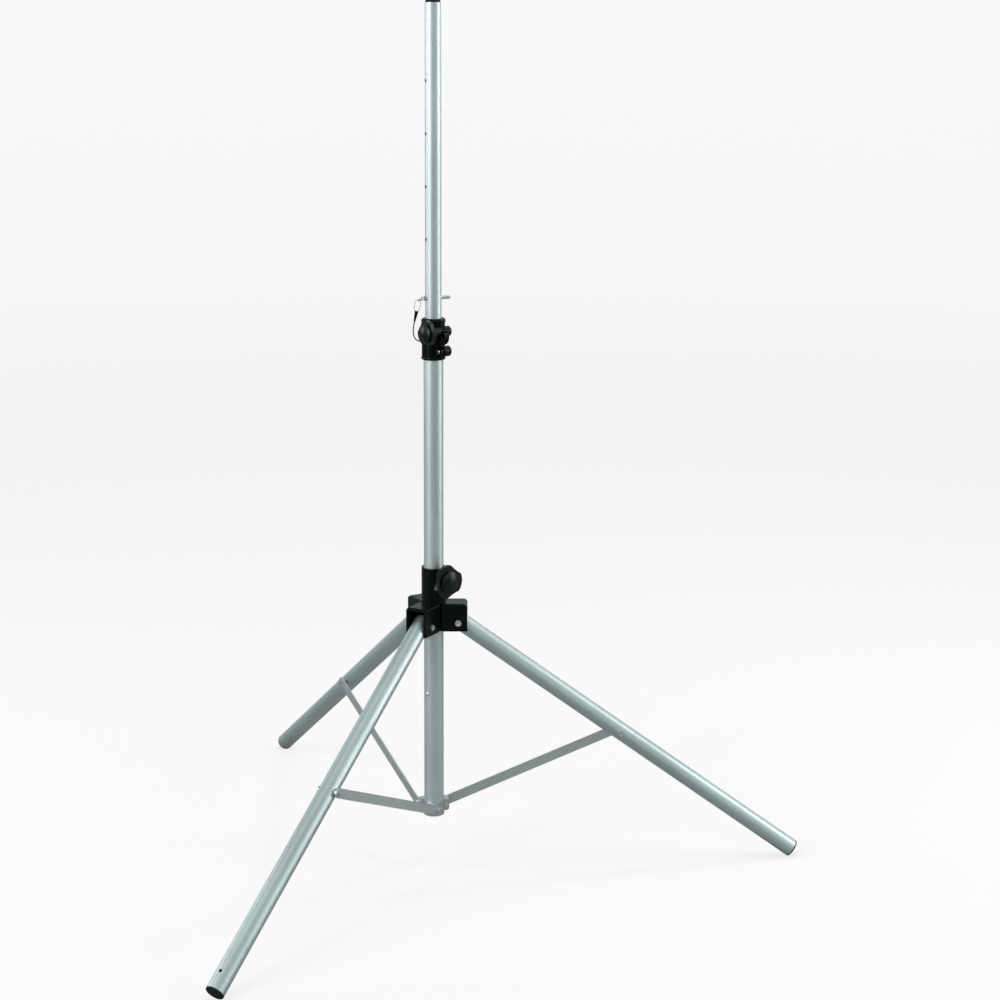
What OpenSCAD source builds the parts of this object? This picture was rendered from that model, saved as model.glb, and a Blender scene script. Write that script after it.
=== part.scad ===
// Telescopic tripod stand for a loudspeaker.
// The origin is on the floor, under the pole's axis. +Z is up, and leg 1 points along +X.
// Millimetres. Leg 2 and leg 3 follow leg 1 at 120 degrees, counter-clockwise from above.

/* [Pole] */
// Outer radius of the inner pole, which takes a 35 mm loudspeaker socket
pole_r = 17.5; // [17:0.25:18]
// Height of the inner pole's top edge above the floor, as it stands
pole_top_z = 1865; // [1820:5:1920]
// Length of the inner pole
pole_length = 1060; // [800:10:1100]
// Wall of the inner pole and of the outer tube
tube_wall = 1.5; // [1.2:0.1:2]
// Distance between the height holes
hole_pitch = 113; // [105:1:118]

/* [Outer tube] */
// Outer radius of the outer tube
tube_r = 21.2; // [21:0.1:21.4]
// Height of the outer tube's lower end
tube_bottom_z = 108; // [106:1:110]
// Height of the rivet that stops the inner pole
rivet_z = 367; // [300:1:400]

/* [Legs] */
// Height of the leg hinges above the floor
pivot_z = 528; // [522:1:532]
// Distance of the leg hinges from the pole's axis
pivot_r = 53.5; // [52:0.5:55]
// Outer radius of a leg tube
leg_r = 19; // [18.5:0.25:19]
// Length of a leg tube below its hinge
leg_length = 891; // [870:1:900]
// Distance from the leg's hinge to the brace's bolt
brace_on_leg = 433; // [424:1:440]

/* [Braces] */
// Distance of the braces' hub bolts from the pole's axis
hub_pivot_r = 26.5; // [26:0.25:26.5]
// Height of the braces' hub bolts
hub_pivot_z = 115; // [113:1:116]
// Width of a brace bar
brace_w = 20; // [16:1:22]
// Thickness of a brace bar
brace_t = 3; // [2:0.5:3]
// Sideways distance from the leg's middle plane to the brace's inner face
brace_side = 23.5; // [23.5:0.25:25]

/* [Height clamp] */
// Height of the clamp's lower edge
clamp_z = 1100; // [1098:1:1103]
// Height of the clamp's upper edge
clamp_top_z = 1190; // [1188:1:1191]
// Radius of the clamp's waist
clamp_r = 25; // [24.5:0.25:26]

/* [Leg collar] */
// Radius of the collar's sleeve
collar_r = 26.5; // [26:0.25:26.5]
// Height of the sleeve above the leg hinges
collar_up = 118; // [112:1:120]

/* [Hidden] */
$fn = 48;

// clearances
run = 0.05;     // a turning or sliding fit
gap = 0.3;      // between faces that only pass each other

// colours
ALUMINIUM = "#c3cfcd";
BLACK = "#1a1f1f";
STEEL = "#d5dadb";
RUBBER = "#111413";

// legs and braces
foot_flange = 3;
foot_edge = 1;
foot_reach = leg_length + foot_flange - foot_edge;
leg_angle = asin(pivot_z / norm([foot_reach, leg_r])) - atan(leg_r / foot_reach);
brace_x = pivot_r + brace_on_leg * cos(leg_angle);
brace_z = pivot_z - brace_on_leg * sin(leg_angle);
brace_length = norm([brace_x - hub_pivot_r, brace_z - hub_pivot_z]);
brace_angle = atan((brace_z - hub_pivot_z) / (brace_x - hub_pivot_r));
leg_head = 14;          // tube above the hinge
insert_tail = 26;       // how far the hinge insert reaches down the tube
leg_bolt_r = 4;
leg_head_r = 6.9;       // head of a leg bolt
leg_head_h = 4.5;
leg_socket_r = 4;
brace_bolt_r = 3;
brace_head_r = 6;
brace_head_h = 3.5;
brace_socket_r = 3.4;
foot_hole_r = 3.3;
foot_hole_x = leg_length - 34;

// hub and stop rivet
hub_r = 22.5;
hub_top = 129;
hub_floor = 12;
lobe_r = 6.5;
lobe_rise = 6;
lobe_near = -2;
lobe_far = brace_side - gap;
rivet_turn = -130;
rivet_r = 2.4;
rivet_head_r = 4.2;

// leg collar
collar_down = 19;       // below the hinges
clevis_in = leg_r + 0.5;
clevis_out = 25;
clevis_start = 18;
clevis_end = pivot_r + 19.5;
clevis_top = 41;
clevis_roof = 5.5;
clevis_round = 4;
clevis_nose = 6;        // chamfer on the outer end of a clevis's top
collar_knob_z = pivot_z + 94;
collar_knob_turn = -50; // direction the knob faces, from +X
collar_boss_r = 12;
collar_boss_end = 44;

// height clamp
rim_r = 5.4;            // round section of the upper rim
rim_mid = 21;
bead_r = 4;             // round section of the lower rim
bush_foot_z = 1160;     // where the outer tube ends and the guide bush begins
ear_turn = 220;         // direction in which the clamp's bolts point at their heads
ear_out = 28;           // distance of the bolts from the pole's axis
ear_r = 11.4;
ear_back = 20;          // length of the ears behind the slot
upper_ear_z = 1163;
upper_ear_front = 34.4;
lug_z = 1153;           // middle of the round lugs on both sides of the slot
lug_r = 19;
lug_w = 6;
lower_ear_z = 1120;
lower_ear_front = 6.5;
lower_ear_front_r = 9;
slot_w = 2.4;
knob_bolt_r = 4;
clamp_bolt_r = 3;
nut_depth = 7;

// knobs
height_knob_r = 27;
height_button_r = 19.8;
collar_knob_r = 36;
collar_button_r = 23;
height_knob_rest = 58;  // how far each knob is turned as it stands
collar_knob_rest = 81.5;
knob_plate = 9;
knob_button_h = 13;
knob_dome_h = 4.5;
flute_out = 3.57;       // middle of the knob's side hollows, as a share of its radius
flute_r = 2.73;

// pole
cap_h = 9;
bush_h = 30;
top_hole_z = pole_top_z - 166;
pole_bottom_z = pole_top_z - pole_length;

// safety pin
pin_z = 1233;
pin_turn = 205;         // direction in which the pin pulls out
pin_r = 4;
pin_tip = 38.5;
pin_disc_r = 5.4;
eye_x = 25.5;
eye_r = 3.6;
eye_wire = 1.1;
ring_r = 4.5;
ring_wire = 0.8;
ring_droop = 30;

// lanyard
loop_x = 37.2;          // middle of the wire loop, along the pin
loop_z = pin_z - 14.6;
loop_half_w = 7;
loop_half_h = 13;
loop_lean = 10;
loop_wire = 0.6;
loop_open = 165;
sleeve_top = [-35.5, -16.6, 1206.8];
sleeve_end = [-40, -17.3, 1184];
cord_r = 1.2;
cord_route = [
    [-40, -17.3, 1184], [-41.5, -17.5, 1176], [-42.4, -17.6, 1168], [-42.4, -17.3, 1160],
    [-41, -16.5, 1152.5], [-38, -15, 1146.5], [-34, -12.5, 1142.5], [-30.5, -8, 1140.8],
    [-29, -1, 1141], [-28, 7, 1142.5], [-25, 14, 1146], [-20.5, 20, 1151.5],
    [-15.5, 24.5, 1158], [-11, 27.5, 1165], [-8.5, 28.6, 1171]];
anchor_turn = 106.5;
anchor_z = 1174;
anchor_r = 3.2;

// ---- helpers ----

function unit(v) = v / norm(v);
function tangent(p, i) = unit(p[min(i + 1, len(p) - 1)] - p[max(i - 1, 0)]);
function square_to(n, t) = unit(n - (n * t) * t);
function side_vectors(p) = [
    for (i = 0, n = square_to([0, 1, 0], tangent(p, 0));
         i < len(p);
         i = i + 1, n = i < len(p) ? square_to(n, tangent(p, i)) : n) n];

// A round tube whose rings stand on the points of a route.
module tube_along(route, radius, sides = 8) {
    side = side_vectors(route);
    points = [for (i = [0:len(route) - 1], s = [0:sides - 1])
        let (a = 360 * s / sides, t = tangent(route, i))
            route[i] + radius * (cos(a) * side[i] + sin(a) * cross(t, side[i]))];
    last = (len(route) - 1) * sides;
    walls = [for (i = [0:len(route) - 2], s = [0:sides - 1])
        let (a = i * sides, b = (s + 1) % sides)
            [a + sides + s, a + sides + b, a + b, a + s]];
    start_cap = [[for (s = [0:sides - 1]) s]];
    end_cap = [[for (s = [0:sides - 1]) last + sides - 1 - s]];
    polyhedron(points, concat(walls, start_cap, end_cap), convexity = 6);
}

// Points +Z of its children from a to b, and puts their origin at a.
module from_to(a, b) {
    d = b - a;
    translate(a) rotate([0, acos(d[2] / norm(d)), atan2(d[1], d[0])]) children();
}

// A cylinder along Y, from y0 to y1.
module across(r, y0, y1) {
    translate([0, y1, 0]) rotate([90, 0, 0]) cylinder(r = r, h = y1 - y0);
}

// A hexagon along Y, from y0 to y1, with its corners at r.
module hex_across(r, y0, y1) {
    translate([0, y1, 0]) rotate([90, 0, 0]) cylinder(r = r, h = y1 - y0, $fn = 6);
}

module pipe(r, wall, h) {
    difference() {
        cylinder(r = r, h = h);
        translate([0, 0, -1]) cylinder(r = r - wall, h = h + 2);
    }
}

// The direction of leg k.
module at_leg(k) { rotate([0, 0, 120 * (k - 1)]) children(); }

// Leg frame: origin at the hinge, +X down the leg, +Y to the leg's left seen from the pole.
module on_leg(k) {
    at_leg(k) translate([pivot_r, 0, pivot_z]) rotate([0, leg_angle, 0]) children();
}

// Brace frame: origin at the hub bolt, +X up the brace.
module on_brace(k) {
    at_leg(k) translate([hub_pivot_r, 0, hub_pivot_z]) rotate([0, -brace_angle, 0]) children();
}

// Clamp bolt frame: origin where the bolt passes the pole, +Z towards the bolt's head.
module on_ear(z) {
    rotate([0, 0, ear_turn]) translate([0, ear_out, z]) rotate([0, 90, 0]) children();
}

// Collar knob frame: origin on the pole's axis, +Z out through the knob.
module on_collar_knob() {
    translate([0, 0, collar_knob_z]) rotate([0, 0, collar_knob_turn]) rotate([0, 90, 0]) children();
}

// Pin frame: origin on the pole's axis, +X the way the pin pulls out.
module on_pin() {
    translate([0, 0, pin_z]) rotate([0, 0, pin_turn]) children();
}

// ---- outer tube and hub ----

module outer_tube() {
    color(ALUMINIUM) difference() {
        translate([0, 0, tube_bottom_z]) pipe(tube_r, tube_wall, bush_foot_z - tube_bottom_z);
        translate([0, 0, rivet_z]) rotate([0, 0, rivet_turn]) rotate([0, 90, 0])
            cylinder(r = rivet_r + run, h = 2 * tube_r);
    }
}

module hub_lobe() {
    difference() {
        translate([0, lobe_far, 0]) rotate([90, 0, 0]) linear_extrude(lobe_far - lobe_near) {
            for (z = [-1, 1]) translate([hub_pivot_r, hub_pivot_z + z * lobe_rise]) circle(r = lobe_r);
            translate([hub_pivot_r - lobe_r, hub_pivot_z - lobe_rise])
                square([2 * lobe_r, 2 * lobe_rise]);
            translate([10, hub_pivot_z - lobe_rise - lobe_r])
                square([hub_pivot_r - 10, 2 * (lobe_rise + lobe_r)]);
        }
        translate([hub_pivot_r, 0, hub_pivot_z]) across(brace_bolt_r + run, lobe_near - 1, lobe_far + 1);
    }
}

module hub() {
    color(ALUMINIUM) difference() {
        union() {
            translate([0, 0, tube_bottom_z - hub_floor])
                cylinder(r = hub_r, h = hub_top - tube_bottom_z + hub_floor);
            for (k = [1:3]) at_leg(k) hub_lobe();
        }
        translate([0, 0, tube_bottom_z]) cylinder(r = tube_r + run, h = 100);
    }
}

module hub_bolts() {
    color(STEEL) for (k = [1:3]) at_leg(k) translate([hub_pivot_r, 0, hub_pivot_z]) {
        difference() {
            across(3.9, lobe_near - 3.5, lobe_near);
            hex_across(2, lobe_near - 4, lobe_near - 1.5);
        }
        across(brace_bolt_r, lobe_near, brace_side + brace_t + 6);
    }
}

module hub_nuts() {
    color(STEEL) for (k = [1:3]) at_leg(k) translate([hub_pivot_r, 0, hub_pivot_z]) difference() {
        hex_across(5.6, brace_side + brace_t + gap, brace_side + brace_t + gap + 5);
        across(brace_bolt_r + run, 0, 60);
    }
}

module stop_rivet() {
    color(STEEL) translate([0, 0, rivet_z]) rotate([0, 0, rivet_turn]) rotate([0, 90, 0]) {
        translate([0, 0, tube_r - tube_wall - 3]) cylinder(r = rivet_r, h = tube_wall + 3);
        intersection() {
            translate([0, 0, tube_r]) cylinder(r = rivet_head_r, h = 1.6);
            translate([0, 0, tube_r - 4.2]) sphere(r = 5.8);
        }
    }
}

// ---- height clamp ----

module ear(z, front, front_r, back_r) {
    on_ear(z) {
        translate([0, 0, -ear_back]) cylinder(r1 = back_r - 1.5, r2 = back_r, h = 1.5);
        translate([0, 0, 1.5 - ear_back]) cylinder(r = back_r, h = ear_back - 1.5);
        cylinder(r = front_r, h = front - 1.5);
        translate([0, 0, front - 1.5]) cylinder(r1 = front_r, r2 = front_r - 1.5, h = 1.5);
    }
}

module clamp_shell() {
    translate([0, 0, clamp_z + bead_r]) {
        cylinder(r = clamp_r, h = clamp_top_z - clamp_z - bead_r - rim_r);
        rotate_extrude() translate([clamp_r + 1.4 - bead_r, 0]) circle(r = bead_r);
    }
    translate([0, 0, clamp_z]) cylinder(r = clamp_r + 1.4 - bead_r, h = bead_r);
    translate([0, 0, clamp_top_z - rim_r]) rotate_extrude() translate([rim_mid, 0]) circle(r = rim_r);
}

module height_clamp() {
    color(BLACK) difference() {
        union() {
            clamp_shell();
            ear(upper_ear_z, upper_ear_front, ear_r, ear_r);
            ear(lower_ear_z, lower_ear_front, lower_ear_front_r, ear_r);
            on_ear(lug_z) translate([0, 0, -lug_w]) cylinder(r = lug_r, h = 2 * lug_w);
        }
        translate([0, 0, clamp_z - 1]) cylinder(r = tube_r + run, h = clamp_top_z - clamp_z + 2);
        rotate([0, 0, ear_turn]) translate([-slot_w / 2, 10, clamp_z - 1]) cube([slot_w, 60, 100]);
        on_ear(upper_ear_z) {
            translate([0, 0, -60]) cylinder(r = knob_bolt_r + run, h = 120);
            translate([0, 0, -ear_back - 1]) cylinder(r = 7.6, h = nut_depth + 1, $fn = 6);
        }
        on_ear(lower_ear_z) {
            translate([0, 0, -60]) cylinder(r = clamp_bolt_r + run, h = 120);
            translate([0, 0, -ear_back - 1]) cylinder(r = 5.9, h = nut_depth, $fn = 6);
            translate([0, 0, lower_ear_front]) cylinder(r = 5.6, h = 12);
        }
    }
}

module guide_bush() {
    color(BLACK) difference() {
        translate([0, 0, bush_foot_z + 0.1]) cylinder(r = tube_r, h = clamp_top_z - 1 - bush_foot_z);
        translate([0, 0, bush_foot_z - 1]) cylinder(r = pole_r + run, h = 50);
        rotate([0, 0, ear_turn]) translate([-slot_w / 2, 10, bush_foot_z - 1]) cube([slot_w, 20, 50]);
    }
}

module clamp_screw() {
    color(STEEL) on_ear(lower_ear_z) {
        translate([0, 0, -ear_back + 1]) cylinder(r = clamp_bolt_r, h = ear_back - 1 + lower_ear_front);
        difference() {
            translate([0, 0, lower_ear_front]) cylinder(r = 5, h = 5);
            translate([0, 0, lower_ear_front + 2.5]) cylinder(r = 2.9, h = 5, $fn = 6);
        }
    }
}

module captive_nut(z, corner_r, bore_r, h) {
    color(STEEL) on_ear(z) translate([0, 0, -ear_back]) difference() {
        cylinder(r = corner_r, h = h, $fn = 6);
        translate([0, 0, -1]) cylinder(r = bore_r + run, h = h + 2);
    }
}

module clamp_nut() { captive_nut(lower_ear_z, 5.8, clamp_bolt_r, nut_depth - 1); }

module height_knob_nut() { captive_nut(upper_ear_z, 7.5, knob_bolt_r, nut_depth); }

// A three-winged knob: a disc with three shallow hollows, and a round domed button on it.
module knob_grip(tip_r, button_r) {
    ball_r = (button_r * button_r + knob_dome_h * knob_dome_h) / (2 * knob_dome_h);
    top = knob_button_h + knob_dome_h;
    difference() {
        union() {
            linear_extrude(knob_plate) difference() {
                circle(r = tip_r);
                for (i = [0:2]) rotate(120 * i + 60) translate([flute_out * tip_r, 0])
                    circle(r = flute_r * tip_r, $fn = 96);
            }
            intersection() {
                cylinder(r = button_r, h = top + 1);
                translate([0, 0, top - ball_r]) sphere(r = ball_r, $fn = 96);
            }
        }
        translate([0, 0, -1]) cylinder(r = knob_bolt_r + run, h = knob_plate + 4);
    }
}

module height_knob() {
    color(BLACK) on_ear(upper_ear_z) translate([0, 0, upper_ear_front + gap])
        rotate(height_knob_rest) knob_grip(height_knob_r, height_button_r);
}

module height_knob_bolt() {
    color(STEEL) on_ear(upper_ear_z)
        translate([0, 0, -ear_back + 1]) cylinder(r = knob_bolt_r, h = ear_back + upper_ear_front + knob_plate);
}

// ---- inner pole ----

module pole_tube() {
    color(ALUMINIUM) difference() {
        translate([0, 0, pole_bottom_z]) pipe(pole_r, tube_wall, pole_length);
        for (i = [0:3]) translate([0, 0, top_hole_z - i * hole_pitch]) rotate([0, 0, pin_turn])
            rotate([0, 90, 0]) cylinder(r = pin_r + run, h = 60, center = true);
        translate([0, 0, pin_z]) rotate([0, 0, pin_turn])
            rotate([0, 90, 0]) cylinder(r = pin_r + run, h = 60, center = true);
    }
}

module pole_cap() {
    color(RUBBER) translate([0, 0, pole_top_z]) {
        cylinder(r1 = pole_r - 0.7, r2 = pole_r - 2.5, h = cap_h - 2);
        translate([0, 0, cap_h - 2]) cylinder(r1 = pole_r - 2.5, r2 = pole_r - 5, h = 2);
        translate([0, 0, -20]) cylinder(r = pole_r - tube_wall - run, h = 20);
    }
}

module pole_bush() {
    color(BLACK) translate([0, 0, pole_bottom_z - 6]) difference() {
        cylinder(r = tube_r - tube_wall - run, h = bush_h);
        translate([0, 0, 6]) cylinder(r = pole_r + run, h = bush_h);
        translate([0, 0, -1]) cylinder(r = pole_r - 4, h = bush_h);
    }
}

// ---- safety pin and lanyard ----

module safety_pin() {
    color(STEEL) on_pin() {
        rotate([0, 90, 0]) {
            translate([0, 0, 1 - pin_tip]) cylinder(r = pin_r, h = pin_tip + pole_r);
            translate([0, 0, -pin_tip]) cylinder(r1 = pin_r - 1, r2 = pin_r, h = 1);
            translate([0, 0, pole_r + gap]) cylinder(r = pin_disc_r, h = 2);
            translate([0, 0, pole_r + gap]) cylinder(r = 2, h = eye_x - eye_r - pole_r - gap);
        }
        translate([eye_x, 0, 0]) rotate([90, 0, 0]) rotate_extrude() translate([eye_r, 0]) circle(r = eye_wire);
    }
}

module pin_ring() {
    color(STEEL) on_pin() translate([eye_x + 1.1, 0, 0]) rotate([0, ring_droop, 0])
        translate([ring_r, 0, 0]) rotate_extrude() translate([ring_r, 0]) circle(r = ring_wire);
}

module lanyard_wire() {
    route = [for (a = [-loop_open:11:loop_open])
        let (u = loop_half_w * sin(a), v = loop_half_h * cos(a))
            [loop_x + u * cos(loop_lean) - v * sin(loop_lean), 0, u * sin(loop_lean) + v * cos(loop_lean)]];
    color(STEEL) rotate([0, 0, pin_turn]) translate([0, 0, loop_z]) tube_along(route, loop_wire);
}

module lanyard_sleeve() {
    color(BLACK) from_to(sleeve_top, sleeve_end)
        cylinder(r1 = 4.2, r2 = 1.8, h = norm(sleeve_end - sleeve_top) - 0.3);
}

module lanyard_cord() { color(BLACK) tube_along(cord_route, cord_r); }

module lanyard_anchor() {
    color(STEEL) rotate([0, 0, anchor_turn]) translate([0, 0, anchor_z]) rotate([0, 90, 0]) {
        translate([0, 0, clamp_r + 0.1]) cylinder(r = anchor_r, h = 6);
        translate([0, 0, clamp_r + 6.1]) cylinder(r1 = anchor_r + 1, r2 = anchor_r - 0.5, h = 1.5);
    }
}

// ---- leg collar ----

// The outline of a clevis, across the leg: an inverted U with rounded shoulders.
module clevis_outline(half, top) {
    for (s = [-1, 1]) translate([s * (half - clevis_round), top - clevis_round]) circle(r = clevis_round);
    translate([-half, -collar_down]) square([2 * half, top - clevis_round + collar_down]);
    translate([clevis_round - half, 0]) square([2 * (half - clevis_round), top]);
}

module clevis_block() {
    difference() {
        translate([clevis_start, 0, 0]) rotate([90, 0, 90]) linear_extrude(clevis_end - clevis_start)
            clevis_outline(clevis_out, clevis_top);
        translate([clevis_end, 0, clevis_top]) rotate([0, 45, 0])
            cube([clevis_nose * sqrt(2), 3 * clevis_out, clevis_nose * sqrt(2)], center = true);
    }
}

module clevis_room() {
    translate([collar_r + 0.5, 0, 0]) rotate([90, 0, 90]) linear_extrude(80) {
        translate([-clevis_in, -2 * collar_down])
            square([2 * clevis_in, clevis_top - clevis_roof + 2 * collar_down]);
    }
}

module leg_collar() {
    color(BLACK) difference() {
        union() {
            translate([0, 0, pivot_z]) difference() {
                for (k = [1:3]) at_leg(k) clevis_block();
                for (k = [1:3]) at_leg(k) clevis_room();
            }
            translate([0, 0, pivot_z - collar_down]) cylinder(r = collar_r, h = collar_down + collar_up);
            on_collar_knob() cylinder(r = collar_boss_r, h = collar_boss_end);
        }
        cylinder(r = tube_r + run, h = 1000);
        for (k = [1:3]) at_leg(k) translate([pivot_r, 0, pivot_z]) across(leg_bolt_r + run, -40, 40);
        on_collar_knob() cylinder(r = knob_bolt_r + run, h = 60);
    }
}

module leg_bolts() {
    color(STEEL) for (k = [1:3]) at_leg(k) translate([pivot_r, 0, pivot_z]) {
        across(leg_bolt_r, -clevis_out, clevis_out + 6);
        difference() {
            across(leg_head_r, -clevis_out - leg_head_h, -clevis_out);
            hex_across(leg_socket_r, -clevis_out - leg_head_h - 1, -clevis_out - 1);
        }
    }
}

module leg_nuts() {
    color(STEEL) for (k = [1:3]) at_leg(k) translate([pivot_r, 0, pivot_z]) difference() {
        union() {
            hex_across(7.2, clevis_out, clevis_out + 5);
            across(5.8, clevis_out + 5, clevis_out + 7);
        }
        across(leg_bolt_r + run, 0, 60);
    }
}

module collar_pad() {
    color(BLACK) on_collar_knob() translate([0, 0, tube_r + 0.15]) cylinder(r = knob_bolt_r, h = 3);
}

module collar_knob() {
    color(BLACK) on_collar_knob() translate([0, 0, collar_boss_end + gap])
        rotate(collar_knob_rest) knob_grip(collar_knob_r, collar_button_r);
}

module collar_knob_bolt() {
    color(STEEL) on_collar_knob() translate([0, 0, tube_r + 3.5])
        cylinder(r = knob_bolt_r, h = collar_boss_end + knob_plate - tube_r - 3.5);
}

// ---- legs ----

module leg_tube(k) {
    color(ALUMINIUM) on_leg(k) difference() {
        translate([-leg_head, 0, 0]) rotate([0, 90, 0]) pipe(leg_r, tube_wall, leg_length + leg_head);
        across(leg_bolt_r + run, -40, 40);
        translate([brace_on_leg, 0, 0]) across(brace_bolt_r + run, -40, 40);
        translate([foot_hole_x, 0, 0]) cylinder(r = foot_hole_r, h = 2 * leg_r);
    }
}

module leg_insert(k) {
    color(BLACK) on_leg(k) difference() {
        translate([-leg_head, 0, 0]) rotate([0, 90, 0])
            cylinder(r = leg_r - tube_wall - run, h = leg_head + insert_tail);
        across(leg_bolt_r + run, -40, 40);
    }
}

module leg_foot(k) {
    color(RUBBER) on_leg(k) translate([leg_length, 0, 0]) rotate([0, 90, 0]) {
        translate([0, 0, -20]) cylinder(r = leg_r - tube_wall - run, h = 20);
        cylinder(r = leg_r, h = foot_flange - foot_edge);
        translate([0, 0, foot_flange - foot_edge]) cylinder(r1 = leg_r, r2 = leg_r - foot_edge, h = foot_edge);
    }
}

module brace_bolt(k) {
    color(STEEL) on_leg(k) translate([brace_on_leg, 0, 0]) {
        across(brace_bolt_r, -leg_r - 1, brace_side - gap - 0.3);
        difference() {
            across(brace_head_r, -leg_r - brace_head_h, -leg_r + 2);
            translate([-10, 0, 0]) rotate([0, 90, 0]) cylinder(r = leg_r + 0.02, h = 20);
            hex_across(brace_socket_r, -leg_r - 4, -leg_r - 1);
        }
    }
}

module brace_spacer(k) {
    color(STEEL) on_leg(k) translate([brace_on_leg, 0, 0]) difference() {
        across(6, leg_r - 3, brace_side - gap);
        across(brace_bolt_r + run, 0, 60);
        translate([-10, 0, 0]) rotate([0, 90, 0]) cylinder(r = leg_r + 0.02, h = 20);
    }
}

// ---- braces ----

module brace(k) {
    color(ALUMINIUM) on_brace(k) translate([0, brace_side + brace_t, 0]) rotate([90, 0, 0])
        linear_extrude(brace_t) difference() {
            union() {
                for (x = [0, brace_length]) translate([x, 0]) circle(r = brace_w / 2);
                translate([0, -brace_w / 2]) square([brace_length, brace_w]);
            }
            for (x = [0, brace_length]) translate([x, 0]) circle(r = brace_bolt_r + run);
        }
}

module brace_nut(k) {
    color(STEEL) on_brace(k) translate([brace_length, 0, 0]) {
        across(brace_bolt_r, brace_side, brace_side + brace_t + 6.5);
        hex_across(5.6, brace_side + brace_t, brace_side + brace_t + 5);
    }
}

outer_tube();
hub();
hub_bolts();
hub_nuts();
stop_rivet();
height_clamp();
guide_bush();
clamp_screw();
clamp_nut();
height_knob_nut();
lanyard_anchor();
lanyard_cord();
height_knob();
height_knob_bolt();
pole_tube();
pole_cap();
pole_bush();
lanyard_sleeve();
safety_pin();
pin_ring();
lanyard_wire();
leg_collar();
leg_bolts();
leg_nuts();
collar_pad();
collar_knob();
collar_knob_bolt();
leg_tube(1);  // leg_tube_1
leg_tube(2);  // leg_tube_2
leg_tube(3);  // leg_tube_3
leg_insert(1);  // leg_insert_1
leg_insert(2);  // leg_insert_2
leg_insert(3);  // leg_insert_3
leg_foot(1);  // leg_foot_1
leg_foot(2);  // leg_foot_2
leg_foot(3);  // leg_foot_3
brace_bolt(1);  // brace_bolt_1
brace_bolt(2);  // brace_bolt_2
brace_bolt(3);  // brace_bolt_3
brace_spacer(1);  // brace_spacer_1
brace_spacer(2);  // brace_spacer_2
brace_spacer(3);  // brace_spacer_3
brace(1);  // brace_1
brace(2);  // brace_2
brace(3);  // brace_3
brace_nut(1);  // brace_nut_1
brace_nut(2);  // brace_nut_2
brace_nut(3);  // brace_nut_3
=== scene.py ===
"""Looks for the loudspeaker stand: camera, lanyard, materials, edges and studio."""

import math

import bmesh
import bpy
from mathutils import Euler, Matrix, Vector


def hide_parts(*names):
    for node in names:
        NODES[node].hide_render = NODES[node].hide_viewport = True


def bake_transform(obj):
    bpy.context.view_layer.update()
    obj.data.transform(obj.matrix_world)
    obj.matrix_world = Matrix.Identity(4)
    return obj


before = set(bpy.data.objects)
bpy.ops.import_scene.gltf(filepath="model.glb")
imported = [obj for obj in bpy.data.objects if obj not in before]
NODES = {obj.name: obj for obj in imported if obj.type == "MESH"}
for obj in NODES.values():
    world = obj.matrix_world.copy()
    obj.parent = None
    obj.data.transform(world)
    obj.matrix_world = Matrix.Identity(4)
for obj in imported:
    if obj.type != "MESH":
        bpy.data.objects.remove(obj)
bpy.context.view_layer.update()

MM = 0.001
LEGS = (1, 2, 3)

# ---- camera ----

CAMERA_AT = (0.1158, -4.4084, 1.8203)
CAMERA_HEADING = math.radians(0.3515)  # from +Y towards +X
CAMERA_DOWN = math.radians(4.768)
CAMERA_ROLL = math.radians(0.07)
CAMERA_LENS = 74.49
CAMERA_SHIFT_Y = -0.304


def add_camera():
    data = bpy.data.cameras.new("camera")
    data.lens = CAMERA_LENS
    data.sensor_width = 36
    data.shift_y = CAMERA_SHIFT_Y
    data.clip_start = 0.05
    data.clip_end = 100
    camera = bpy.data.objects.new("camera", data)
    bpy.context.scene.collection.objects.link(camera)
    camera.location = CAMERA_AT
    look = Euler((math.pi / 2 - CAMERA_DOWN, 0, -CAMERA_HEADING), "XYZ").to_quaternion()
    roll = Euler((0, 0, CAMERA_ROLL), "XYZ").to_quaternion()
    camera.rotation_mode = "QUATERNION"
    camera.rotation_quaternion = look @ roll
    bpy.context.scene.camera = camera


add_camera()

# ---- mesh helpers ----


def points_mm(points):
    return [Vector(point) * MM for point in points]


def smooth_route(points, steps):
    """A Catmull-Rom curve through the points, with that many steps between neighbours."""
    ends = [2 * points[0] - points[1], *points, 2 * points[-1] - points[-2]]
    route = []
    for i in range(1, len(ends) - 2):
        a, b, c, d = ends[i - 1 : i + 3]
        for step in range(steps):
            t = step / steps
            bend = 2 * a - 5 * b + 4 * c - d
            twist = 3 * (b - c) + d - a
            route.append(b + 0.5 * t * ((c - a) + t * (bend + t * twist)))
    route.append(points[-1].copy())
    return route


def tube_mesh(name, route, radius, sides):
    """A closed round tube along the route, with its UV map round it and along it."""
    mesh = bmesh.new()
    uv = mesh.loops.layers.uv.new("UVMap")
    side = Vector((0, 1, 0))
    rings = []
    for i, point in enumerate(route):
        ahead = route[min(i + 1, len(route) - 1)]
        behind = route[max(i - 1, 0)]
        along = (ahead - behind).normalized()
        side = (side - side.dot(along) * along).normalized()
        up = along.cross(side)
        ring = []
        for s in range(sides):
            angle = 2 * math.pi * s / sides
            ring.append(mesh.verts.new(point + radius * (math.cos(angle) * side + math.sin(angle) * up)))
        rings.append(ring)
    for i in range(len(rings) - 1):
        for s in range(sides):
            t = (s + 1) % sides
            face = mesh.faces.new((rings[i][s], rings[i][t], rings[i + 1][t], rings[i + 1][s]))
            face.smooth = True
            corners = ((s, i), (s + 1, i), (s + 1, i + 1), (s, i + 1))
            for loop, (u, v) in zip(face.loops, corners):
                loop[uv].uv = (u / sides, v / len(route))
    mesh.faces.new(reversed(rings[0]))
    mesh.faces.new(rings[-1])
    mesh.normal_update()
    return add_mesh(name, mesh)


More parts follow.
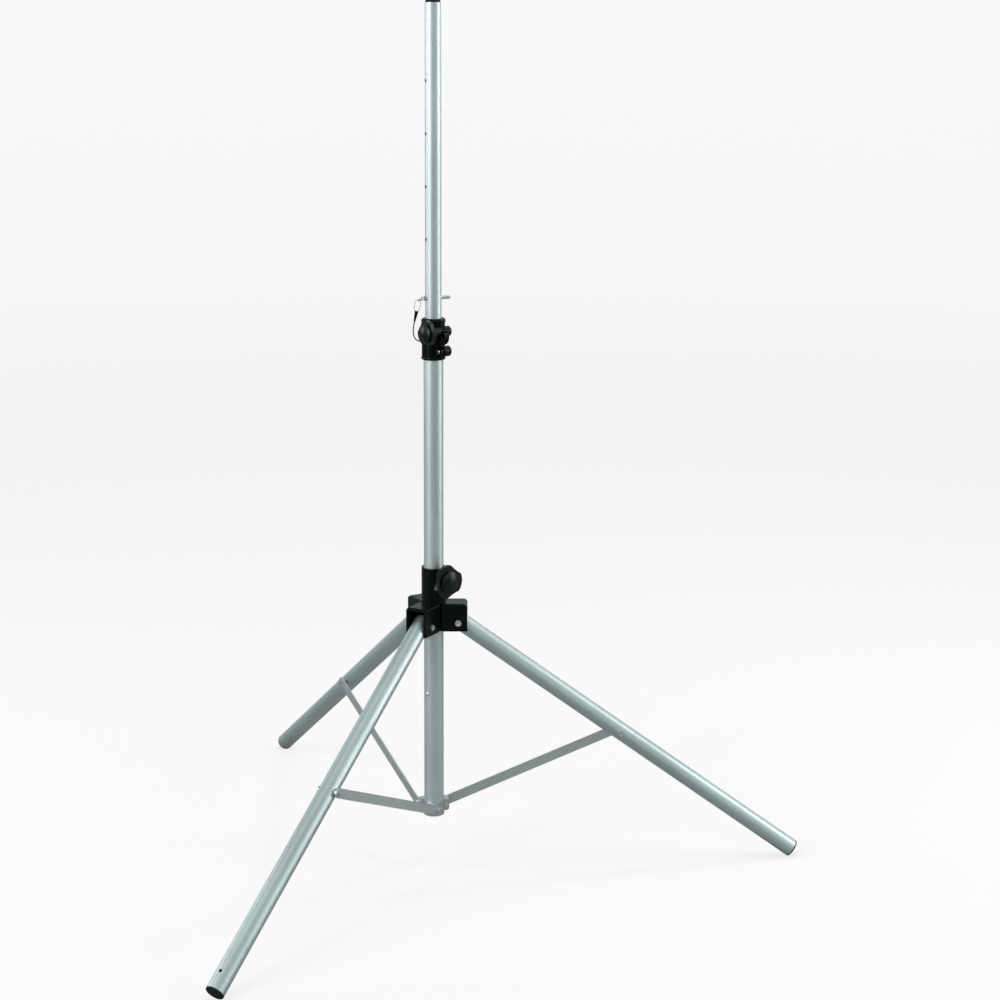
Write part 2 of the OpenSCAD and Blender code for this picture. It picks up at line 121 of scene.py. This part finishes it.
def add_mesh(name, mesh):
    data = bpy.data.meshes.new(name)
    mesh.to_mesh(data)
    mesh.free()
    piece = bpy.data.objects.new(name, data)
    bpy.context.scene.collection.objects.link(piece)
    return piece


# ---- lanyard ----

CORD_ROUTE = points_mm([
    (-40, -17.3, 1184), (-41.5, -17.5, 1176), (-42.4, -17.6, 1168), (-42.4, -17.3, 1160),
    (-41, -16.5, 1152.5), (-38, -15, 1146.5), (-34, -12.5, 1142.5), (-30.5, -8, 1140.8),
    (-29, -1, 1141), (-28, 7, 1142.5), (-25, 14, 1146), (-20.5, 20, 1151.5),
    (-15.5, 24.5, 1158), (-11, 27.5, 1165), (-8.5, 28.6, 1171)])
CORD_DIAMETER = 2.4 * MM
CORD_STEPS = 6
CORD_SIDES = 16
PIN_TURN = math.radians(205)  # the pin's way out to its ring, from +X towards +Y
PIN_WAY = Vector((math.cos(PIN_TURN), math.sin(PIN_TURN), 0))
LOOP_OUT = 37.2 * MM  # the loop's middle, along the pin from the pole's axis
LOOP_UP = 1218.4 * MM  # and above the floor
LOOP_MIDDLE = LOOP_OUT * PIN_WAY + Vector((0, 0, LOOP_UP))
LOOP_HALF_WIDTH = 7 * MM
LOOP_HALF_HEIGHT = 13 * MM
LOOP_LEAN = math.radians(10)
LOOP_ARC = 165  # degrees to each side of the top, so that the loop is open at the sleeve
LOOP_STEP = 5
LOOP_SIDES = 12
LOOP_RADIUS = 0.6 * MM


def add_cord():
    route = smooth_route(CORD_ROUTE, CORD_STEPS)
    cord = tube_mesh("lanyard_line", route, CORD_DIAMETER / 2, CORD_SIDES)
    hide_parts("lanyard_cord")
    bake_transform(cord)
    return cord


def add_wire_loop():
    route = []
    for degrees in range(-LOOP_ARC, LOOP_ARC + 1, LOOP_STEP):
        angle = math.radians(degrees)
        across = LOOP_HALF_WIDTH * math.sin(angle)
        up = LOOP_HALF_HEIGHT * math.cos(angle)
        out = across * math.cos(LOOP_LEAN) - up * math.sin(LOOP_LEAN)
        rise = across * math.sin(LOOP_LEAN) + up * math.cos(LOOP_LEAN)
        route.append(LOOP_MIDDLE + out * PIN_WAY + Vector((0, 0, rise)))
    loop = tube_mesh("lanyard_loop", route, LOOP_RADIUS, LOOP_SIDES)
    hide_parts("lanyard_wire")
    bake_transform(loop)
    return loop


cord_piece = add_cord()
loop_piece = add_wire_loop()

# ---- materials ----

# Each tint is a material's lighter and darker colour, as linear RGB.
TUBE_TINT = ((0.80, 0.86, 0.85), (0.70, 0.76, 0.75))
LEG_TINT = ((0.72, 0.79, 0.79), (0.63, 0.69, 0.69))
BRACE_TINT = ((0.74, 0.78, 0.77), (0.62, 0.66, 0.65))
HUB_TINT = ((0.72, 0.76, 0.75), (0.58, 0.62, 0.61))
PLATED_TINT = ((0.92, 0.93, 0.93), (0.80, 0.82, 0.82))
WIRE_TINT = ((0.36, 0.38, 0.38), (0.22, 0.24, 0.24))
BLACK_TINT = ((0.0024, 0.0040, 0.0037), (0.0010, 0.0016, 0.0015))
RUBBER_TINT = ((0.010, 0.011, 0.011), (0.005, 0.005, 0.005))
# The cord's darker colour is painted shade in the grooves between its strands.
CORD_TINT_AND_GROOVE_SHADE = ((0.008, 0.009, 0.009), (0.002, 0.002, 0.002))

# The noise values over which a colour or a roughness goes from one end to the other.
NARROW = (0.35, 0.65)
WIDE = (0.3, 0.7)
NOISE_ROUGHNESS = 0.55  # how much each finer octave of a noise counts


class Material:
    """A node material under construction. Vectors are in the row frame, in metres."""

    def __init__(self, name):
        self.data = bpy.data.materials.new(name)
        self.data.use_nodes = True
        self.nodes = self.data.node_tree.nodes
        self.links = self.data.node_tree.links
        self.shader = self.nodes["Principled BSDF"]
        coordinates = self.nodes.new("ShaderNodeTexCoord").outputs
        self.place = coordinates["Object"]
        self.uv = coordinates["UV"]

    def set(self, **values):
        for socket, value in values.items():
            self.shader.inputs[socket.replace("_", " ")].default_value = value

    def wire(self, output, socket):
        self.links.new(output, self.shader.inputs[socket])

    def mapped(self, vector, socket, value):
        node = self.nodes.new("ShaderNodeMapping")
        node.inputs[socket].default_value = value
        self.links.new(vector, node.inputs["Vector"])
        return node.outputs["Vector"]

    def turned(self, vector, rotation):
        """The vector turned by an Euler rotation."""
        return self.mapped(vector, "Rotation", rotation)

    def stretched(self, vector, scale):
        return self.mapped(vector, "Scale", scale)

    def noise(self, vector, scale, detail=3):
        node = self.nodes.new("ShaderNodeTexNoise")
        node.inputs["Scale"].default_value = scale
        node.inputs["Detail"].default_value = detail
        node.inputs["Roughness"].default_value = NOISE_ROUGHNESS
        self.links.new(vector, node.inputs["Vector"])
        return node.outputs["Fac"]

    def fit(self, value, low, high, start=0.0, end=1.0):
        """Maps start..end of the value to low..high."""
        node = self.nodes.new("ShaderNodeMapRange")
        for socket, number in (("From Min", start), ("From Max", end), ("To Min", low), ("To Max", high)):
            node.inputs[socket].default_value = number
        self.links.new(value, node.inputs["Value"])
        return node.outputs["Result"]

    def blend(self, factor, first, second):
        """Mixes two colours."""
        node = self.nodes.new("ShaderNodeMix")
        node.data_type = "RGBA"
        node.inputs["A"].default_value = (*first, 1)
        node.inputs["B"].default_value = (*second, 1)
        self.links.new(factor, node.inputs["Factor"])
        return node.outputs["Result"]

    def mottle(self, patches, tint, spread=NARROW):
        """The base colour changes softly between the tint's two colours."""
        self.wire(self.blend(self.fit(patches, 0, 1, *spread), *tint), "Base Color")

    def polish(self, patches, smooth, rough):
        """The roughness changes between smooth and rough."""
        self.wire(self.fit(patches, smooth, rough, *WIDE), "Roughness")

    def bump(self, height, strength, distance, under=None):
        node = self.nodes.new("ShaderNodeBump")
        node.inputs["Strength"].default_value = strength
        node.inputs["Distance"].default_value = distance
        self.links.new(height, node.inputs["Height"])
        if under is not None:
            self.links.new(under, node.inputs["Normal"])
        return node.outputs["Normal"]


def drawn_aluminium(name, tint, rotation=(0, 0, 0)):
    """Satin drawn tube with fine streaks along it. The rotation brings the tube's axis to Z."""
    m = Material(name)
    m.set(Metallic=1.0)
    place = m.turned(m.place, rotation)
    streaks = m.noise(m.stretched(place, (1, 1, 0.006)), scale=900, detail=4)
    patches = m.noise(m.stretched(place, (1, 1, 0.25)), scale=16)
    grain = m.noise(place, scale=2600, detail=1)
    m.mottle(patches, tint)
    m.polish(streaks, smooth=0.40, rough=0.54)
    fine = m.bump(grain, strength=0.05, distance=0.05 * MM)
    m.wire(m.bump(streaks, strength=0.16, distance=0.08 * MM, under=fine), "Normal")
    return m.data


def cast_aluminium(name, tint):
    m = Material(name)
    m.set(Metallic=1.0)
    grain = m.noise(m.place, scale=1400)
    patches = m.noise(m.place, scale=60)
    m.mottle(patches, tint)
    m.polish(patches, smooth=0.34, rough=0.5)
    m.wire(m.bump(grain, strength=0.22, distance=0.15 * MM), "Normal")
    return m.data


def plated_steel(name, tint):
    m = Material(name)
    m.set(Metallic=1.0)
    patches = m.noise(m.place, scale=260)
    grain = m.noise(m.place, scale=3200, detail=1)
    m.mottle(patches, tint)
    m.polish(patches, smooth=0.08, rough=0.20)
    m.wire(m.bump(grain, strength=0.06, distance=0.04 * MM), "Normal")
    return m.data


def black_moulding(name, smooth, rough, grain_depth, gloss=0.17):
    """Satin black plastic or powder coat with a fine grain over soft waves."""
    m = Material(name)
    m.set(Specular_IOR_Level=gloss)
    patches = m.noise(m.place, scale=70, detail=4)
    grain = m.noise(m.place, scale=1900, detail=2)
    waves = m.noise(m.place, scale=240, detail=2)
    m.mottle(patches, BLACK_TINT)
    m.polish(patches, smooth, rough)
    wavy = m.bump(waves, strength=0.08, distance=0.15 * MM)
    m.wire(m.bump(grain, strength=0.15, distance=grain_depth, under=wavy), "Normal")
    return m.data


def black_rubber(name):
    m = Material(name)
    m.set(Specular_IOR_Level=0.35)
    patches = m.noise(m.place, scale=120, detail=4)
    grain = m.noise(m.place, scale=1500)
    m.mottle(patches, RUBBER_TINT, WIDE)
    m.polish(grain, smooth=0.6, rough=0.82)
    m.wire(m.bump(grain, strength=0.35, distance=0.15 * MM), "Normal")
    return m.data


STRAND_LEAN = 0.06  # radians in the cord's UV map, to each side
STRAND_SCALE = 2.6  # makes about eight strands round the cord


def braided_cord(name):
    """Black cord of fine strands that cross at a small angle, from the tube's own UV map."""
    m = Material(name)
    m.set(Specular_IOR_Level=0.06)
    heights = []
    for lean in (-STRAND_LEAN, STRAND_LEAN):
        wave = m.nodes.new("ShaderNodeTexWave")
        wave.inputs["Scale"].default_value = STRAND_SCALE
        m.links.new(m.turned(m.uv, (0, 0, lean)), wave.inputs["Vector"])
        heights.append(wave.outputs["Fac"])
    both = m.nodes.new("ShaderNodeMath")
    both.operation = "MULTIPLY"
    m.links.new(heights[0], both.inputs[0])
    m.links.new(heights[1], both.inputs[1])
    weave = both.outputs["Value"]
    # Painted shade: the colour follows the weave's height, darkest in the grooves between the strands.
    m.wire(m.blend(weave, *reversed(CORD_TINT_AND_GROOVE_SHADE)), "Base Color")
    m.wire(m.fit(weave, 0.7, 0.5), "Roughness")
    m.wire(m.bump(weave, strength=0.5, distance=0.2 * MM), "Normal")
    return m.data


LEG_ANGLE = math.radians(35.0185)  # of each leg below the horizontal
BRACE_ANGLE = math.radians(23.3226)  # of each brace above the horizontal
LEG_SPACING = 120  # degrees from one leg to the next


def axis_to_z(slope, number):
    """The rotation that brings the axis of leg or brace number to Z, undoing the way it was placed."""
    turn = math.radians(LEG_SPACING * (number - 1))
    placed = Euler((0, 0, turn)).to_matrix() @ Euler((0, slope, 0)).to_matrix()
    upright = Euler((0, -math.pi / 2, 0)).to_matrix()
    return (upright @ placed.inverted()).to_euler()


def paint(piece, material):
    piece.data.materials.clear()
    piece.data.materials.append(material)


def paint_nodes(names, material):
    for name in names:
        paint(NODES[name], material)


def numbered(*names):
    return [f"{name}_{k}" for name in names for k in LEGS]


steel = plated_steel("plated_steel", PLATED_TINT)
wire = plated_steel("wire_steel", WIRE_TINT)
nylon = black_moulding("black_nylon", smooth=0.12, rough=0.22, grain_depth=0.06 * MM)
knob_nylon = black_moulding("knob_nylon", smooth=0.22, rough=0.30, grain_depth=0.05 * MM, gloss=0.34)
powder_coat = black_moulding("black_powder_coat", smooth=0.22, rough=0.34, grain_depth=0.12 * MM)

paint_nodes(["outer_tube", "pole_tube"], drawn_aluminium("drawn_tube", TUBE_TINT))
for k in LEGS:
    leg_metal = drawn_aluminium(f"drawn_leg_{k}", LEG_TINT, axis_to_z(LEG_ANGLE, k))
    brace_metal = drawn_aluminium(f"drawn_brace_{k}", BRACE_TINT, axis_to_z(-BRACE_ANGLE, k))
    paint(NODES[f"leg_tube_{k}"], leg_metal)
    paint(NODES[f"brace_{k}"], brace_metal)
paint_nodes(["hub"], cast_aluminium("cast_hub", HUB_TINT))
paint_nodes(["hub_bolts", "hub_nuts", "stop_rivet", "clamp_nut", "height_knob_nut", "lanyard_anchor",
             "height_knob_bolt", "safety_pin", "leg_bolts", "leg_nuts", "collar_knob_bolt",
             *numbered("brace_bolt", "brace_spacer", "brace_nut")], steel)
paint_nodes(["pin_ring", "clamp_screw"], wire)
paint_nodes(["height_clamp", "guide_bush", "pole_bush", "lanyard_sleeve", "collar_pad",
             *numbered("leg_insert")], nylon)
paint_nodes(["height_knob", "collar_knob"], knob_nylon)
paint_nodes(["leg_collar"], powder_coat)
paint_nodes(["pole_cap", *numbered("leg_foot")], black_rubber("black_rubber"))
paint(cord_piece, braided_cord("braided_cord"))
paint(loop_piece, wire)

# ---- edges ----

# How far each node's sharp edges are rounded, in millimetres.
EDGE_WIDTHS = {
    "height_clamp": 0.6,
    "leg_collar": 0.9,
    "height_knob": 1.6,
    "collar_knob": 1.8,
    "hub": 0.8,
    "hub_bolts": 0.4,
    "hub_nuts": 0.4,
    "leg_bolts": 1.4,
    "leg_nuts": 0.5,
    "clamp_screw": 0.5,
    "lanyard_sleeve": 0.4,
    "pole_cap": 0.6,
    **dict.fromkeys(numbered("brace", "leg_foot"), 0.5),
    **dict.fromkeys(numbered("brace_nut"), 0.4),
    **dict.fromkeys(numbered("brace_bolt"), 1.0),
}
EDGE_SEGMENTS = 2
SHARP_ANGLE = math.radians(35)


def round_edges(name, width):
    bevel = NODES[name].modifiers.new("edges", "BEVEL")
    bevel.width = width * MM
    bevel.segments = EDGE_SEGMENTS
    bevel.limit_method = "ANGLE"
    bevel.angle_limit = SHARP_ANGLE
    bevel.harden_normals = True


for name, width in EDGE_WIDTHS.items():
    round_edges(name, width)

# ---- studio ----

FLOOR_RADIUS = 40
FLOOR_SIDES = 64
BACKDROP = 0.95  # how bright the floor and the backdrop look
FLOOR_ALBEDO = 0.34  # the share of light that the floor gives back
ROOM = (0.56, 0.67, 0.67)  # the dimmer room that the metal reflects
CEILING = (0.27, 0.32, 0.32)  # the room overhead, dimmer still
CEILING_RISE = (0.2, 0.8)  # where the room dims to the ceiling; the horizon is 0, straight up is 1
SOFTBOX_SHARE = 0.10  # of the floor's brightness, near the stand
SOFTBOX_REACH = (1.0, 11.0)  # metres over which the softboxes' light on the floor fades

# Name, place, the point it is aimed at, its width and height, and its power in watts.
LIGHTS = (
    ("left_softbox", (-3.0, -2.2, 2.0), (0, 0, 1.2), (2.0, 3.0), 42),
    ("right_softbox", (3.5, -0.1, 1.8), (0, 0, 1.1), (1.2, 3.4), 37),
    ("side", (-3.5, 0.7, 1.5), (0, 0, 1.1), (0.9, 1.1), 13),
    ("rim", (1.7, 1.4, 3.4), (0, 0, 0.9), (0.4, 0.4), 14),
    ("key", (-2.3, -2.3, 3.9), (0, 0, 1.2), (0.5, 0.5), 14),
    ("top_softbox", (0.3, 0.4, 4.6), (0, 0, 0.5), (3.0, 3.0), 20),
)


def add_floor():
    """A pale floor that meets the backdrop without a line, with soft shadows under the feet."""
    mesh = bmesh.new()
    bmesh.ops.create_circle(mesh, cap_ends=True, segments=FLOOR_SIDES, radius=FLOOR_RADIUS)
    floor = add_mesh("floor", mesh)
    m = Material("floor_paint")
    m.set(Base_Color=(FLOOR_ALBEDO, FLOOR_ALBEDO, FLOOR_ALBEDO, 1), Roughness=0.9, Specular_IOR_Level=0.1)
    distance = m.nodes.new("ShaderNodeVectorMath")
    distance.operation = "LENGTH"
    m.links.new(m.place, distance.inputs[0])
    fade = m.fit(distance.outputs["Value"], 0, 1, *SOFTBOX_REACH)
    # The glow makes up what the room's own light leaves short of the backdrop.
    far = tuple(BACKDROP - FLOOR_ALBEDO * (a + b) / 2 for a, b in zip(ROOM, CEILING))
    near = tuple(level - SOFTBOX_SHARE for level in far)
    glow = m.nodes.new("ShaderNodeEmission")
    m.links.new(m.blend(fade, near, far), glow.inputs["Color"])
    shown = m.nodes.new("ShaderNodeAddShader")
    m.links.new(glow.outputs[0], shown.inputs[0])
    m.links.new(m.shader.outputs[0], shown.inputs[1])
    mix = m.nodes.new("ShaderNodeMixShader")
    m.links.new(m.nodes.new("ShaderNodeLightPath").outputs["Is Camera Ray"], mix.inputs["Fac"])
    m.links.new(m.shader.outputs[0], mix.inputs[1])
    m.links.new(shown.outputs[0], mix.inputs[2])
    m.links.new(mix.outputs[0], m.nodes["Material Output"].inputs["Surface"])
    paint(floor, m.data)


def add_light(name, at, aim, size, power):
    data = bpy.data.lights.new(name, "AREA")
    data.shape = "RECTANGLE"
    data.size, data.size_y = size
    data.energy = power
    light = bpy.data.objects.new(name, data)
    bpy.context.scene.collection.objects.link(light)
    light.location = at
    light.rotation_euler = (Vector(aim) - Vector(at)).to_track_quat("-Z", "Y").to_euler()


def add_world():
    """A white backdrop for the camera, and a dimmer room for light and reflections."""
    world = bpy.data.worlds.new("studio")
    world.use_nodes = True
    nodes = world.node_tree.nodes
    links = world.node_tree.links
    room = nodes["Background"]
    height = nodes.new("ShaderNodeSeparateXYZ")
    links.new(nodes.new("ShaderNodeTexCoord").outputs["Generated"], height.inputs[0])
    rise = nodes.new("ShaderNodeMapRange")
    rise.inputs["From Min"].default_value, rise.inputs["From Max"].default_value = CEILING_RISE
    links.new(height.outputs["Z"], rise.inputs["Value"])
    shade = nodes.new("ShaderNodeMix")
    shade.data_type = "RGBA"
    shade.inputs["A"].default_value = (*ROOM, 1)
    shade.inputs["B"].default_value = (*CEILING, 1)
    links.new(rise.outputs["Result"], shade.inputs["Factor"])
    links.new(shade.outputs["Result"], room.inputs["Color"])
    white = nodes.new("ShaderNodeBackground")
    white.inputs["Color"].default_value = (BACKDROP, BACKDROP, BACKDROP, 1)
    mix = nodes.new("ShaderNodeMixShader")
    links.new(nodes.new("ShaderNodeLightPath").outputs["Is Camera Ray"], mix.inputs["Fac"])
    links.new(room.outputs[0], mix.inputs[1])
    links.new(white.outputs[0], mix.inputs[2])
    links.new(mix.outputs[0], nodes["World Output"].inputs["Surface"])
    bpy.context.scene.world = world


add_floor()
for light in LIGHTS:
    add_light(*light)
add_world()
bpy.context.scene.view_settings.view_transform = "Standard"
